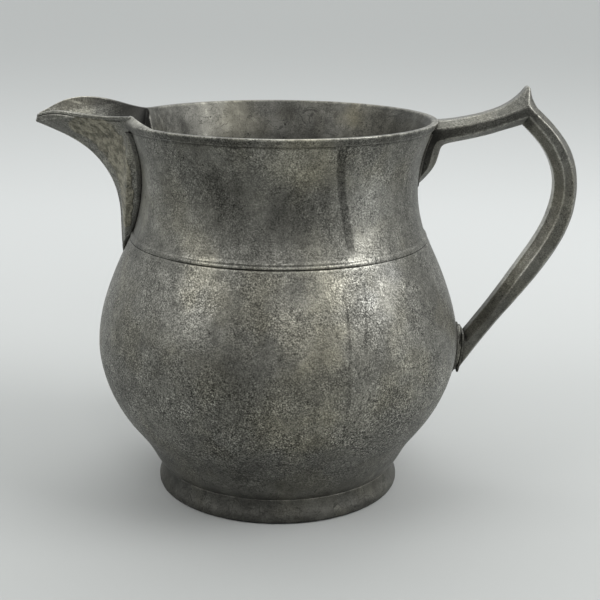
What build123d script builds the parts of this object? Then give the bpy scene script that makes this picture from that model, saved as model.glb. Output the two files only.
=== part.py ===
from build123d import *
import os

# A cast and soldered pewter jug. Millimetres, Z up, standing on Z = 0 with its axis on Z.
# The spout points to -X and the handle to +X.

# Heights on the body
FOOT_SOLDER_HEIGHT = 6.0
FOOT_HEIGHT = 8.6
GIRTH_HEIGHT = 53.0
WAIST_HEIGHT = 90.7
RIM_HEIGHT = 132.0

# Outer radii of the body
FOOT_RADIUS = 43.6
FOOT_REST_RADIUS = 42.5
FOOT_TOP_RADIUS = 42.2
GIRTH_RADIUS = 63.8
WAIST_RADIUS = 52.0
NECK_RADIUS = 48.1
RIM_RADIUS = 54.2
UNDER_RIM_RADIUS = 52.6

# Metal thicknesses
WALL = 1.9
RIM_WIDTH = 2.3
LIP_BAND = 2.6
FOOT_WALL = 3.0
SPOUT_WALL = 1.7
PAD_THICKNESS = 1.7
FOOT_INNER_RADIUS = FOOT_REST_RADIUS - FOOT_WALL

# The belly stands out from the neck by a small step at the waist
WAIST_STEP = 0.45

# Fillets of solder: the inner ones are centred a little inside the wall
INNER_BEAD = 1.5
BEAD_INSET = 0.5
OUTER_BEAD = 1.2
PAD_BEAD = 0.9

# The spout: two cheeks that meet in a narrow keel and run out to a blunt beak, and its channel
BEAK_REACH = 83.3
BEAK_HEIGHT = 132.3
KEEL_HALF_WIDTH = 1.6
CHEEK_CORNER = Vector(-48.5, 22.6, 136.5)
SPOUT_FOOT_HEIGHT = 84.0
SPOUT_BACK = -40.0
CHANNEL_HALF_WIDTH = 0.9
CHANNEL_CORNER = CHEEK_CORNER + Vector(0.9, -1.5, 0)
SLOT_HEIGHT = 95.0

# The handle: a bar with a flat back and front and a bevel at each side of both
HANDLE_HALF_WIDTH = 5.5
HANDLE_HALF_FLAT = 2.3

# The shield-shaped pad between the handle's lower end and the belly
PAD_HALF_WIDTH = 6.5
PAD_TOP = 58.2
PAD_BOTTOM = 41.6

# Well clear of everything
BEYOND = 300.0


def axial(*points):
    """Points (x, z) as 3-D points on the plane Y = 0."""
    return [(x, 0, z) for x, z in points]


def spline(*points):
    """A spline through points (x, z) on the plane Y = 0."""
    return Spline(*axial(*points))


def outline(*edges):
    """A face on the plane Y = 0 from edges in order, with a line across each gap."""
    closed = []
    for edge, following in zip(edges, edges[1:] + edges[:1]):
        closed.append(edge)
        if (edge @ 1 - following @ 0).length > 1e-6:
            closed.append(Line(edge @ 1, following @ 0))
    return make_face(closed)


def inset(curve, depth, count=15):
    """A curve that runs to the left of another one."""
    points = []
    for i in range(count):
        place = i / (count - 1)
        along = curve % place
        points.append(curve @ place + Vector(-along.Z, 0, along.X) * depth)
    return Spline(*points)


def backwards(curve, count=25):
    """The same curve, run from its end to its start."""
    return Spline(*[curve @ (1 - i / (count - 1)) for i in range(count)])


def all_within(*edges):
    """The solid of revolution of everything between the axis and a profile."""
    low, high = edges[0] @ 0, edges[-1] @ 1
    axis_line = Line((0, 0, high.Z), (0, 0, low.Z))
    return revolve(outline(*edges, axis_line), Axis.Z)


def slab(low, high):
    """Everything between two heights."""
    return Pos(0, 0, (low + high) / 2) * Box(BEYOND, BEYOND, high - low)


# The body's profiles, from the bottom up

bowl_profile = Spline(
    *axial(
        (0, 7.0),
        (26.0, 5.8),
        (37.6, 6.0),
        (FOOT_TOP_RADIUS, FOOT_HEIGHT),
        (47.5, 17.0),
        (54.3, 26.4),
        (60.5, 37.7),
        (GIRTH_RADIUS, GIRTH_HEIGHT),
        (60.3, 71.7),
        (WAIST_RADIUS, WAIST_HEIGHT),
    ),
    tangents=[(1, 0, 0), (-0.45, 0, 0.9)],
)
neck_profile = spline(
    (WAIST_RADIUS - WAIST_STEP, WAIST_HEIGHT),
    (49.0, 100.0),
    (NECK_RADIUS, 108.5),
    (49.2, 119.5),
    (UNDER_RIM_RADIUS, RIM_HEIGHT - LIP_BAND),
)
bowl_inside = inset(bowl_profile, WALL, 25)
neck_inside = inset(neck_profile, WALL)
rim_edge = spline(
    (RIM_RADIUS, RIM_HEIGHT - 1.5),
    (RIM_RADIUS - 0.1, RIM_HEIGHT - 0.4),
    (RIM_RADIUS - 0.6, RIM_HEIGHT),
)
rim_flat = Line(rim_edge @ 1, (RIM_RADIUS - RIM_WIDTH, 0, RIM_HEIGHT))

bowl_volume = all_within(bowl_profile)
neck_volume = all_within(neck_profile, rim_edge)
body_volume = bowl_volume + neck_volume


def make_belly():
    """Both castings of the belly and the closed floor in one, to be parted at the girth."""
    return revolve(outline(bowl_profile, backwards(bowl_inside)), Axis.Z)


def make_neck(slot):
    """The neck, flared to a rim with a thickened band, and open behind the spout."""
    face = outline(neck_profile, rim_edge, rim_flat, backwards(neck_inside))
    return revolve(face, Axis.Z) - slot


def make_foot():
    """A low concave ring under the bowl, open underneath."""
    outside = spline(
        (FOOT_REST_RADIUS, 0),
        (FOOT_RADIUS, 1.8),
        (42.6, 5.4),
        (FOOT_TOP_RADIUS, FOOT_HEIGHT),
    )
    inside = Line((FOOT_INNER_RADIUS, 0, FOOT_HEIGHT), (FOOT_INNER_RADIUS, 0, 0))
    return revolve(outline(outside, inside), Axis.Z) - bowl_volume


def make_bead_ring(radius, height, *castings):
    """A fillet of solder in the corner between two castings."""
    ring = revolve(Plane.XZ * Pos(radius, height) * Circle(INNER_BEAD), Axis.Z)
    for casting in castings:
        ring -= casting
    return largest(ring)


def largest(shape):
    """The largest solid of a cut, without the crumbs."""
    return sorted(shape.solids(), key=lambda solid: solid.volume)[-1]


# The spout

keel = spline(
    (-BEAK_REACH, 130.4),
    (-74.2, 126.2),
    (-67.2, 122.1),
    (-61.0, 115.9),
    (-57.4, 109.6),
    (-55.3, 101.5),
    (-55.0, 92.5),
    (-54.6, SPOUT_FOOT_HEIGHT),
)


def beak_volume(ridge, half_width, corner):
    """A slab over the keel with a cone from it to the upper corner of each cheek."""
    top = CHEEK_CORNER.Z + 4
    front = (ridge @ 0).X
    foot = (ridge @ 1).Z
    side = outline(
        ridge,
        Line((SPOUT_BACK, 0, foot), (SPOUT_BACK, 0, top)),
        Line((SPOUT_BACK, 0, top), (front, 0, top)),
    )
    beak = extrude(side, half_width, dir=(0, 1, 0), both=True)
    for hand in (-1, 1):
        base = side.moved(Location((0, hand * half_width, 0)))
        apex = Vertex(corner.X, hand * corner.Y, corner.Z)
        beak += loft([base, apex], ruled=True)
    return beak


def under_lip(hand, *points):
    """Everything below the lip on one hand of the spout."""
    lip = spline(*points)
    low = SPOUT_FOOT_HEIGHT - 10
    side = outline(lip, Line(((lip @ 1).X, 0, low), ((lip @ 0).X, 0, low)))
    return extrude(side, 40, dir=(0, hand, 0))


def make_spout(channel):
    """Both cheeks: the far lip arches higher than the near one."""
    beak = (-BEAK_REACH, BEAK_HEIGHT)
    near_lip = [(-95, 130.4), beak, (-78, 133.8), (-70, 134.2), (-56, 133.6), (-48, 134.2), (-30, 135)]
    far_lip = [(-95, 130), beak, (-76, 136), (-68, 137.3), (-56, 134.5), (-30, 129)]
    near, far = under_lip(-1, *near_lip), under_lip(1, *far_lip)
    mouth = Cylinder(RIM_RADIUS - RIM_WIDTH, 2 * BEYOND)
    cheeks = beak_volume(keel, KEEL_HALF_WIDTH, CHEEK_CORNER) & (near + far)
    return largest(cheeks - channel - body_volume - mouth)


def make_channel():
    """What is hollow inside the spout, out through the beak and in through the neck."""
    floor = inset(keel, SPOUT_WALL)
    inside = beak_volume(floor, CHANNEL_HALF_WIDTH, CHANNEL_CORNER) & slab(SLOT_HEIGHT, BEYOND)
    start = floor @ 0
    way_out = Pos(start.X - 4, 0, start.Z + 10) * Box(10, 2 * CHANNEL_HALF_WIDTH, 20)
    return inside + way_out


# The handle, as the outline of its flats and of its sides, edge for edge

flat_outline = outline(
    spline(
        (45, 132.0),
        (55, 131.8),
        (62.3, 132.7),
        (69.5, 134.3),
        (76.8, 137.1),
        (81.4, 140.4),
        (83.9, 143.5),
    ),
    spline((85.0, 143.3), (85.9, 139.7), (87.9, 136.2)),
    spline(
        (87.9, 136.2),
        (95.2, 129.1),
        (100.9, 120.3),
        (103.2, 108.5),
        (101.9, 98.0),
        (97.0, 86.6),
        (87.5, 72.7),
        (76.5, 58.7),
        (64.7, 42.0),
    ),
    Line((58, 0, 42.0), (58, 0, 55.9)),
    spline(
        (66.2, 55.9),
        (74.6, 67.4),
        (84.2, 82.0),
        (90.9, 93.0),
        (94.6, 103.0),
        (95.2, 110.5),
        (91.6, 121.0),
        (83.0, 130.6),
    ),
    spline((83.0, 130.6), (78.2, 129.1), (70.9, 126.9), (63.4, 125.1), (58.0, 124.0)),
    spline((58.0, 124.0), (55.9, 123.0), (55.0, 120.8), (53.9, 117.0), (50.9, 112.5), (47.5, 109.0)),
    Line((45, 0, 109.0), (45, 0, 132.0)),
)
side_outline = outline(
    spline(
        (45, 128.6),
        (55, 129.2),
        (62.3, 130.4),
        (69.5, 132.0),
        (76.5, 134.0),
        (80.6, 135.7),
        (83.7, 137.2),
    ),
    spline((84.1, 137.2), (84.9, 136.5), (86.6, 134.9)),
    spline(
        (86.6, 134.9),
        (93.4, 128.4),
        (98.9, 119.7),
        (101.5, 108.5),
        (100.4, 98.4),
        (95.6, 87.2),
        (86.4, 73.6),
        (75.4, 59.6),
        (64.7, 44.2),
    ),
    Line((58, 0, 44.2), (58, 0, 53.4)),
    spline(
        (66.9, 53.4),
        (76.9, 66.0),
        (87.1, 81.2),
        (94.0, 92.6),
        (97.6, 102.5),
        (98.2, 110.5),
        (95.2, 120.8),
        (84.6, 133.8),
    ),
    spline((84.6, 133.8), (77.8, 131.5), (68.5, 128.4), (56.4, 125.8)),
    spline((56.4, 125.8), (53.8, 124.8), (52.1, 120.6), (50.7, 115.5), (47.5, 111.5)),
    Line((45, 0, 111.5), (45, 0, 128.6)),
)


def at_side(face, distance):
    """A face of the plane Y = 0, moved off it."""
    return face.moved(Location((0, distance, 0)))


def make_handle(pad):
    """The whole bar: arm, thumb spur, grip and the bracket down the neck."""
    sections = [
        at_side(side_outline, -HANDLE_HALF_WIDTH),
        at_side(flat_outline, -HANDLE_HALF_FLAT),
        at_side(flat_outline, HANDLE_HALF_FLAT),
        at_side(side_outline, HANDLE_HALF_WIDTH),
    ]
    bar = loft(sections, ruled=True)
    return largest(bar - body_volume - pad)


def skin(depth):
    """A layer on the outside of the body."""
    bowl_skin = all_within(inset(bowl_profile, -depth, 25))
    neck_skin = all_within(inset(neck_profile, -depth))
    return bowl_skin + neck_skin - body_volume


def make_shield(margin):
    """A block on +X with the outline of the pad, pointed above and rounded below."""
    half_width = PAD_HALF_WIDTH + margin
    bottom = PAD_BOTTOM - margin
    side = Spline(
        (0, bottom),
        (half_width * 0.85, bottom + 3),
        (half_width, (PAD_TOP + PAD_BOTTOM) / 2),
        (0, PAD_TOP + 1.5 * margin),
    )
    face = make_face([side, mirror(side, Plane.YZ)])
    upright = Plane((50, 0, 0), x_dir=(0, 1, 0), z_dir=(1, 0, 0))
    return extrude(upright * face, 30, dir=(1, 0, 0))


def make_lower_handle_solder(pad_level):
    """A fillet round the handle's lower end, on top of the pad."""
    zone = Pos(65, 0, 49.6) * Box(20, 2 * PAD_HALF_WIDTH - 0.6, 14.4)
    layer = skin(PAD_THICKNESS + PAD_BEAD) - pad_level
    return largest((zone & layer) - handle)


def make_pad_solder():
    """A fillet round the pad, on the belly."""
    return largest((make_shield(PAD_BEAD) & skin(PAD_BEAD)) - pad - handle)


def make_upper_handle_solder():
    """A fillet down both sides of the bracket and round its lower end."""
    bracket_zone = outline(
        spline((57.0, 123.5), (55.3, 117.8), (52.2, 112.5), (48.6, 109.4)),
        Line((45, 0, 109.4), (45, 0, 127.5)),
        Line((45, 0, 127.5), (57.0, 0, 127.5)),
    )
    zone = extrude(bracket_zone, HANDLE_HALF_WIDTH + OUTER_BEAD, dir=(0, 1, 0), both=True)
    return largest((zone & skin(OUTER_BEAD)) - handle)


def make_spout_solder():
    """A fillet down the seam of both cheeks, in two pieces that the keel parts."""
    corner = CHEEK_CORNER + Vector(-0.4, OUTER_BEAD + 0.3, 0)
    around = beak_volume(keel, KEEL_HALF_WIDTH + OUTER_BEAD, corner)
    cheeks = beak_volume(keel, KEEL_HALF_WIDTH, CHEEK_CORNER)
    below_band = slab(0, RIM_HEIGHT - LIP_BAND)
    fillets = (around & skin(OUTER_BEAD) & below_band) - cheeks
    return Compound(fillets.solids().sort_by(SortBy.VOLUME)[-2:])


slot_and_channel = make_channel()
pad_level = skin(PAD_THICKNESS)
pad = make_shield(0) & pad_level
handle = make_handle(pad)
spout = make_spout(slot_and_channel)
neck = make_neck(slot_and_channel)
belly = make_belly()
upper_belly = belly & slab(GIRTH_HEIGHT, BEYOND)
lower_belly = belly & slab(-BEYOND, GIRTH_HEIGHT)
foot_ring = make_foot()

parts = {
    "neck": neck,
    "upper_belly": upper_belly,
    "lower_belly": lower_belly,
    "foot_ring": foot_ring,
    "spout": spout,
    "handle": handle,
    "lower_handle_pad": pad,
    "waist_solder": make_bead_ring(WAIST_RADIUS - WALL - BEAD_INSET, WAIST_HEIGHT, neck, upper_belly),
    "girth_solder": make_bead_ring(GIRTH_RADIUS - WALL - BEAD_INSET, GIRTH_HEIGHT, upper_belly, lower_belly),
    "foot_solder": make_bead_ring(FOOT_INNER_RADIUS, FOOT_SOLDER_HEIGHT, foot_ring, bowl_volume),
    "spout_solder": make_spout_solder(),
    "upper_handle_solder": make_upper_handle_solder(),
    "lower_handle_solder": make_lower_handle_solder(pad_level),
    "pad_solder": make_pad_solder(),
}

os.makedirs("parts", exist_ok=True)
for name, solid in parts.items():
    export_step(solid, f"parts/{name}.step")
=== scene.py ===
import math

import bmesh
import bpy
import numpy as np
from mathutils import Euler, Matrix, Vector, noise


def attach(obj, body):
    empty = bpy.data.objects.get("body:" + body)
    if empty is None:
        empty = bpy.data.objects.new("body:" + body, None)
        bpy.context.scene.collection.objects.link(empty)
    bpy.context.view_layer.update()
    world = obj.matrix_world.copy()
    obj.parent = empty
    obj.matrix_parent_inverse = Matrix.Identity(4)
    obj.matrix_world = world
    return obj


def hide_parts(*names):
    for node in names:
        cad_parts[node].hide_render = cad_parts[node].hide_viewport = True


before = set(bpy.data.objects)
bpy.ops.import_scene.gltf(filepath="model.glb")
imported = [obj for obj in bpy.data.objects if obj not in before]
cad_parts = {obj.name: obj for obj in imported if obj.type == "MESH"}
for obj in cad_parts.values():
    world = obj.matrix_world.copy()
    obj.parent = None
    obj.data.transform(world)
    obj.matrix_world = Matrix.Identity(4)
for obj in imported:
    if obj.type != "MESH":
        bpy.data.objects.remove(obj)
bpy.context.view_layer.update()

# The looks of a cast pewter jug, built round its CAD frame. Lengths are in millimetres, and MM
# turns them into the frame's metres, except for the lamps, the floor and the camera.
MM = 0.001

# Heights and thicknesses that several pieces share
FOOT_TOP = 8.6
GIRTH_HEIGHT = 53.0
WAIST_HEIGHT = 90.7
RIM_HEIGHT = 132.0
WALL = 1.9

# A turned piece's steps round Z, and the angle about Z where the waist's bead is crispest: 0 is at
# the handle, -90 in front and 180 at the spout
SEGMENTS = 400
CRISP_ANGLE = -92

# Half-profiles (radius, height)
BOWL = [
    (0, 7.0), (26.0, 5.8), (37.6, 6.0), (42.2, FOOT_TOP), (47.5, 17.0),
    (54.3, 26.4), (60.5, 37.7), (63.8, GIRTH_HEIGHT), (60.3, 71.7), (52.0, WAIST_HEIGHT),
]
NECK = [(51.55, WAIST_HEIGHT), (49.0, 100.0), (48.1, 108.5), (49.2, 119.5), (52.6, 129.4)]
RIM = [
    (52.7, 129.35), (53.0, 129.5), (53.2, 129.85), (53.55, 130.5), (53.85, 131.1),
    (54.1, 131.6), (54.15, 131.8), (54.0, 131.97), (53.6, RIM_HEIGHT), (52.6, RIM_HEIGHT),
    (52.2, 131.93), (51.95, 131.7), (51.8, 131.2),
]
FOOT = [(42.2, 0.0), (43.1, 0.35), (43.6, 1.8), (42.9, 4.4), (42.3, 6.8), (42.2, 8.5)]

# The spout in side view (x, z)
KEEL = [
    (-83.4, 130.1), (-74.2, 126.2), (-67.2, 122.1), (-61.0, 115.9),
    (-57.4, 109.6), (-55.3, 101.5), (-55.0, 92.5), (-54.6, 84.0),
]
NEAR_LIP = [
    (-95, 130.4), (-83.3, 132.3), (-78, 133.8), (-70, 134.2), (-56, 133.6), (-48, 134.2), (-30, 135),
]
FAR_LIP = [(-95, 130), (-83.3, 132.3), (-76, 136.0), (-68, 137.3), (-56, 134.5), (-30, 128.2)]
CHEEK_CORNER = (-48.5, 22.6, 136.5)
KEEL_HALF_WIDTH = 1.6
SPOUT_WALL = 1.7
SLOT_MARGIN = 0.12

# How far the neck's rim rises beside the spout, on its near and its far side
NEAR_RISE = 2.4
FAR_RISE = 0.5

# The handle in side view (x, z): the edges of its flats, and of its sides. Each has an outer
# run over the arm, the spur and the grip, and an inner run from the bracket to the pad. The grip
# then goes straight on into the body.
HANDLE_HALF_WIDTH = 5.5
HANDLE_HALF_FLAT = 2.3
FLAT_EDGES = {
    "top": [
        (45, 132), (55, 131.8), (62.3, 132.7), (69.5, 134.3),
        (76.8, 137.1), (81.4, 140.4), (83.9, 143.3),
    ],
    "spur": [(83.9, 143.3), (84.5, 143.5), (85.0, 143.0), (85.9, 139.7), (87.9, 136.2)],
    "outer": [
        (87.9, 136.2), (95.2, 129.1), (100.9, 120.3), (103.2, 108.5), (101.9, 98.0),
        (97.0, 86.6), (87.5, 72.7), (76.5, 58.7), (64.7, 42.0),
    ],
    "bracket": [
        (47.5, 109.0), (50.9, 112.5), (53.9, 117.0), (55.0, 120.8), (55.9, 123.0), (58.0, 124.0),
    ],
    "under": [(58.0, 124.0), (63.4, 125.1), (70.9, 126.9), (78.2, 129.1), (83.0, 130.6)],
    "inner": [
        (83.0, 130.6), (91.6, 121.0), (95.2, 110.5), (94.6, 103.0), (90.9, 93.0),
        (84.2, 82.0), (74.6, 67.4), (66.2, 55.9),
    ],
}
SIDE_EDGES = {
    "top": [
        (45, 128.6), (55, 129.2), (62.3, 130.4), (69.5, 132.0),
        (76.5, 134.0), (80.6, 135.7), (83.7, 137.2),
    ],
    "spur": [(83.7, 137.2), (83.9, 137.3), (84.1, 137.2), (84.9, 136.5), (86.6, 134.9)],
    "outer": [
        (86.6, 134.9), (93.4, 128.4), (98.9, 119.7), (101.5, 108.5), (100.4, 98.4),
        (95.6, 87.2), (86.4, 73.6), (75.4, 59.6), (64.7, 44.2),
    ],
    "bracket": [(47.5, 111.5), (50.7, 115.5), (52.1, 120.6), (53.8, 124.8), (56.4, 125.8)],
    "under": [(56.4, 125.8), (68.5, 128.4), (77.8, 131.5), (84.6, 133.8)],
    "inner": [
        (84.6, 133.8), (95.2, 120.8), (98.2, 110.5), (97.6, 102.5), (94.0, 92.6),
        (87.1, 81.2), (76.9, 66.0), (66.9, 53.4),
    ],
}
GRIP_END_X = 58.0


# Curves and noise


def smooth(points, count, start=None, end=None):
    """Places along a cubic spline through points, with a set direction at an end if one is given."""
    knots = np.array(points, float)
    gaps = np.linalg.norm(np.diff(knots, axis=0), axis=1)
    total = np.concatenate([[0], np.cumsum(gaps)])
    last = len(knots) - 1
    matrix = np.zeros((last + 1, last + 1))
    right = np.zeros_like(knots)
    for i in range(1, last):
        before, after = gaps[i - 1], gaps[i]
        matrix[i, i - 1 : i + 2] = 1 / before, 2 / before + 2 / after, 1 / after
        rise = (knots[i] - knots[i - 1]) / before**2 + (knots[i + 1] - knots[i]) / after**2
        right[i] = 3 * rise
    matrix[0, :2] = (2, 1) if start is None else (1, 0)
    right[0] = 3 * (knots[1] - knots[0]) / gaps[0] if start is None else start
    matrix[last, -2:] = (1, 2) if end is None else (0, 1)
    right[last] = 3 * (knots[last] - knots[last - 1]) / gaps[-1] if end is None else end
    slopes = np.linalg.solve(matrix, right)
    where = np.linspace(0, 1, count) * total[-1]
    i = np.clip(np.searchsorted(total, where, side="right") - 1, 0, last - 1)
    gap = gaps[i][:, None]
    u = ((where - total[i]) / gaps[i])[:, None]
    return (
        knots[i] * (1 + 2 * u) * (1 - u) ** 2
        + slopes[i] * gap * u * (1 - u) ** 2
        + knots[i + 1] * u**2 * (3 - 2 * u)
        - slopes[i + 1] * gap * u**2 * (1 - u)
    )


def offset(curve, depth):
    """A curve to the left of a sampled one."""
    along = np.gradient(curve, axis=0)
    along /= np.linalg.norm(along, axis=1)[:, None]
    return curve + depth * np.stack([-along[:, 1], along[:, 0]], 1)


def step(value, low, high):
    """A smooth rise from 0 at low to 1 at high."""
    u = np.clip((np.asarray(value, float) - low) / (high - low), 0, 1)
    return u * u * (3 - 2 * u)


def lumps(points, size, seed, octaves):
    """Smooth noise between about -1 and 1 at points in millimetres, with features of that size."""
    shift = Vector((seed * 17.3, seed * 9.1, seed * 5.7))
    return np.array([noise.fractal(Vector(p) / size + shift, 0.8, 2.1, octaves) for p in points])


# Meshes


def add_object(name, data):
    """A new object in the scene."""
    made = bpy.data.objects.new(name, data)
    bpy.context.scene.collection.objects.link(made)
    return made


def store(mesh, name, values):
    """Keeps a number on each vertex, for the material to read."""
    layer = mesh.attributes.new(name, "FLOAT", "POINT")
    layer.data.foreach_set("value", np.asarray(values, np.float32))


def new_piece(name, points, faces, tone=None):
    """A welded, smooth-shaded mesh object from points in millimetres. A tone makes the metal
    lighter or darker at each point."""
    mesh = bpy.data.meshes.new(name)
    mesh.from_pydata([tuple(p) for p in np.asarray(points) * MM], [], faces)
    if tone is not None:
        store(mesh, "tone", tone)
    work = bmesh.new()
    work.from_mesh(mesh)
    bmesh.ops.remove_doubles(work, verts=work.verts, dist=0.002 * MM)
    bmesh.ops.dissolve_degenerate(work, edges=work.edges, dist=0.001 * MM)
    bmesh.ops.recalc_face_normals(work, faces=work.faces)
    work.to_mesh(mesh)
    work.free()
    mesh.shade_smooth()
    return add_object(name, mesh)


def tube_faces(stations, count):
    """The quads between closed loops of count points, one loop for each station."""
    faces = []
    for i in range(stations - 1):
        for j in range(count):
            k = (j + 1) % count
            faces.append((i * count + j, i * count + k, (i + 1) * count + k, (i + 1) * count + j))
    return faces


def places(piece):
    """A piece's vertices in millimetres, and their normals."""
    count = len(piece.data.vertices)
    co = np.empty(3 * count)
    piece.data.vertices.foreach_get("co", co)
    normals = np.empty(3 * count)
    piece.data.vertex_normals.foreach_get("vector", normals)
    return co.reshape(-1, 3) / MM, normals.reshape(-1, 3)


def move_to(piece, points):
    """Puts a piece's vertices at places in millimetres."""
    piece.data.vertices.foreach_set("co", (points * MM).ravel())
    piece.data.update()


def push(piece, amount):
    """Moves each vertex along its normal by an amount in millimetres."""
    points, normals = places(piece)
    move_to(piece, points + normals * np.asarray(amount)[:, None])


def bearing(points):
    """The angle about Z in degrees."""
    return np.degrees(np.arctan2(points[:, 1], points[:, 0]))


def from_spout(points):
    """How many degrees round from the spout, to either side."""
    return 180 - np.abs(bearing(points))


def from_axis(points):
    """How far out from the Z axis."""
    return np.hypot(points[:, 0], points[:, 1])


def bend_at(piece):
    """How convex the surface is at each vertex, per millimetre, averaged with its neighbours."""
    points, normals = places(piece)
    count = len(points)
    ends = np.empty(2 * len(piece.data.edges), int)
    piece.data.edges.foreach_get("vertices", ends)
    one, other = ends.reshape(-1, 2).T
    meeting = np.bincount(ends, minlength=count).clip(1)
    way = points[other] - points[one]
    long = np.maximum(np.linalg.norm(way, axis=1), 1e-6)
    way /= (long**2)[:, None]
    bend = np.bincount(one, -(way * normals[one]).sum(1), count)
    bend += np.bincount(other, (way * normals[other]).sum(1), count)
    bend /= meeting
    beside = np.bincount(one, bend[other], count) + np.bincount(other, bend[one], count)
    return 0.5 * bend + 0.5 * beside / meeting


def mark_wear(piece, amount):
    """Stores how convex and how hollow the surface is: edges wear bright, corners keep dirt. The
    flush girth joint shows neither, and the waist, the rim and the slot for the spout show less."""
    points, _ = places(piece)
    height, radius = points[:, 2], from_axis(points)
    flush = step(np.abs(height - GIRTH_HEIGHT), 0.4, 1.5)
    on_body = (radius < 55) & (np.abs(radius - body_radius(height)) < 4)
    at_waist = step(np.abs(height - WAIST_HEIGHT), 4, 2.5)
    at_side = step(np.abs(bearing(points) - CRISP_ANGLE), 20, 46)
    at_slot = on_body * (height > WAIST_HEIGHT) * step(from_spout(points), 31, 27)
    at_rim = on_body * step(height, RIM_HEIGHT - 4, RIM_HEIGHT - 3)
    quiet = 1 - 0.5 * on_body * (height > WAIST_HEIGHT - 4)
    quiet = quiet * (1 - 0.85 * at_side * at_waist) * (1 - at_slot)
    bend, least, most = bend_at(piece), 0.04, 0.2
    store(piece.data, "wear", amount * quiet * flush * step(bend, least, most))
    clean = (1 - 0.45 * at_waist) * (1 - 0.6 * at_rim)
    store(piece.data, "grime", flush * clean * step(-bend, least, most))


# How open the grain is: outside, as (height, amount), and in the bore
OUTSIDE_GRAIN = [
    (11, 0.25), (20, 0.9), (32, 1.35), (48, 1.3), (62, 0.85),
    (86, 0.9), (90, 0.8), (95, 0.65), (130, 0.75),
]
BORE_GRAIN = 0.28


def mark_body(piece):
    """Stores which side of the wall is outside, and how open the grain is: close in the bore and
    by the spout, open low on the belly."""
    points, normals = places(piece)
    height, around = points[:, 2], bearing(points)
    grain = np.interp(height, *zip(*OUTSIDE_GRAIN))
    right_front = step(around, -80, -58) * step(around, 0, -15)
    by_spout = step(np.abs(around), 145, 157) * step(height, WAIST_HEIGHT, WAIST_HEIGHT + 3)
    grain = grain * (1 + 0.1 * right_front) * (1 - 0.6 * by_spout)
    inward = (normals[:, :2] * points[:, :2]).sum(1) < 0
    facet = (height > RIM_HEIGHT + 0.1) & (np.abs(around) > 130)
    store(piece.data, "grain", np.where(inward | facet, BORE_GRAIN, grain))
    store(piece.data, "outside", ~inward)


def finish_piece(piece, material, slot, *nodes):
    """Gives a piece its material and its body, and hides the CAD nodes that it stands for. The slot
    is not used.
    """
    piece.data.materials.clear()
    piece.data.materials.append(material)
    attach(piece, "root")
    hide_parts(*nodes)


# Turned pieces


def turned(name, loop, closed, opening=None):
    """A profile loop (radius, height) swept round Z. An opening gives the half-angle that the
    sweep leaves free about -X at each height, and the loop's two halves then pair up there."""
    loop = np.asarray(loop, float)
    count = len(loop)
    free = np.zeros(count) if opening is None else opening(loop)
    free = np.where(free[::-1] > 0, free, 0)
    turns = SEGMENTS + (0 if opening is None else 1)
    points = []
    for i in range(turns):
        angle = math.pi + free + (2 * math.pi - 2 * free) * i / SEGMENTS
        x, y = loop[:, 0] * np.cos(angle), loop[:, 0] * np.sin(angle)
        points.append(np.stack([x, y, loop[:, 1]], 1))
    faces = []
    for i in range(SEGMENTS):
        here, there = i * count, ((i + 1) % turns) * count
        for j in range(count if closed else count - 1):
            k = (j + 1) % count
            faces.append((here + j, there + j, there + k, here + k))
    if opening is not None:
        for end in (0, SEGMENTS * count):
            for j in range(count // 2):
                across = dict.fromkeys((j, j + 1, count - 2 - j, count - 1 - j))
                if len(across) > 2 and max(free[j], free[j + 1]) > 0:
                    faces.append([end + k for k in across])
    return new_piece(name, np.concatenate(points), faces)


def profile_part(profile, low, high, count):
    """The stretch of a sampled profile between two heights, evenly sampled again."""
    fine = profile[(profile[:, 1] >= low) & (profile[:, 1] <= high)]
    gone = np.concatenate([[0], np.cumsum(np.linalg.norm(np.diff(fine, axis=0), axis=1))])
    where = np.linspace(0, gone[-1], count)
    return np.stack([np.interp(where, gone, fine[:, k]) for k in (0, 1)], 1)


bowl_outside = smooth(BOWL, 1500, start=(1, 0), end=(-0.447, 0.894))
bowl_inside = offset(bowl_outside, WALL)
neck_outside = smooth(NECK, 600)
neck_inside = offset(neck_outside, WALL)


def body_radius(height):
    """The body's outer radius at a height above the foot's top."""
    upper = np.interp(height, neck_outside[:, 1], neck_outside[:, 0])
    past = bowl_outside[:, 1] >= FOOT_TOP
    lower = np.interp(height, bowl_outside[past, 1], bowl_outside[past, 0])
    return np.where(np.asarray(height) > WAIST_HEIGHT, upper, lower)


def cast_surface(piece, seed, depth=0.1):
    """The slow unevenness and the fine roughness of a cast surface, straight out from the axis, so
    that castings which meet flush stay flush."""
    points, _ = places(piece)
    amount = depth * lumps(points, 24, seed, 2) + 0.035 * lumps(points, 2.6, seed + 1, 2)
    points[:, :2] *= (1 + amount / from_axis(points).clip(1))[:, None]
    move_to(piece, points)


def beside_girth(profile, rises):
    """Rings close to the girth, which keep the shading of the flush joint even."""
    heights = [GIRTH_HEIGHT + rise for rise in rises]
    return np.stack([np.interp(heights, profile[:, 1], profile[:, 0]), heights], 1)


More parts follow.
